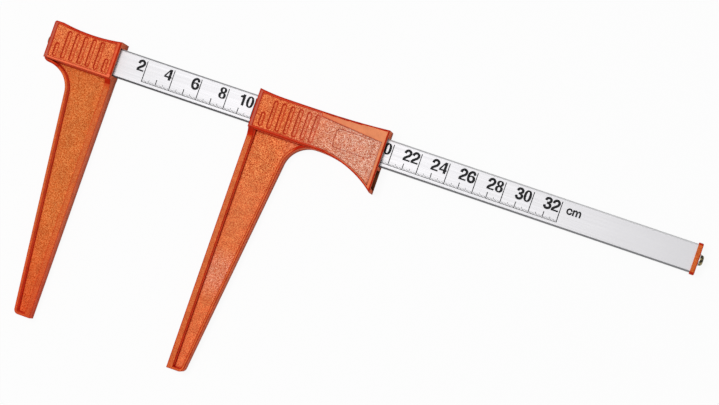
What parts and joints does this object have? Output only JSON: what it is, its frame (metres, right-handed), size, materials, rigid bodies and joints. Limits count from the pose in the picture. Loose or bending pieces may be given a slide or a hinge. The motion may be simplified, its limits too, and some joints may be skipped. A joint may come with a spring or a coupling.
{
  "type": "tree caliper",
  "caption": "Tree caliper: a flat aluminium beam printed with a centimetre scale, a fixed jaw at its zero end and a sliding jaw, both with long tapering legs.",
  "frame": {"origin": "on the fixed jaw's measuring face, where its leg leaves the head, at mid depth: the scale's zero", "axes": "+X along the beam to greater readings, +Y from the legs' tips towards the beam, +Z out of the printed face; the caliper lies on the backs of its heads"},
  "size_m": [0.4733, 0.2013, 0.024],
  "materials": {
    "orange_plastic": "moulded, fine grain on its panels, smooth rims",
    "anodised_aluminium": "satin, clear anodised",
    "scale_ink": "black print",
    "aged_steel": "dull, slightly yellowed",
    "zinc_steel": "zinc plated",
    "spring_steel": "rolled strip",
    "black_nylon": "plain moulded",
    "slide_pad": "smooth acetal"
  },
  "bodies": {
    "frame": {"beam": "anodised_aluminium", "scale_marks": "scale_ink", "fixed_jaw": "orange_plastic", "jaw_pins": "zinc_steel", "jaw_plug": "black_nylon", "jaw_screw": "aged_steel", "jaw_screw_washer": "zinc_steel", "cap_plug": "black_nylon", "end_cap": "orange_plastic", "end_cap_washer": "zinc_steel", "end_cap_screw": "aged_steel"},
    "slider": {"sliding_jaw": "orange_plastic", "front_pad_left": "slide_pad", "front_pad_right": "slide_pad", "back_pad_left": "slide_pad", "back_pad_right": "slide_pad", "pad_spring_left": "spring_steel", "pad_spring_right": "spring_steel", "adjusting_screws": "zinc_steel"}
  },
  "joints": [
    {"name": "jaw_slide", "type": "slide", "parent": "frame", "child": "slider", "axis": [1, 0, 0], "range_m": [-0.1012, 0.2196]}
  ]
}
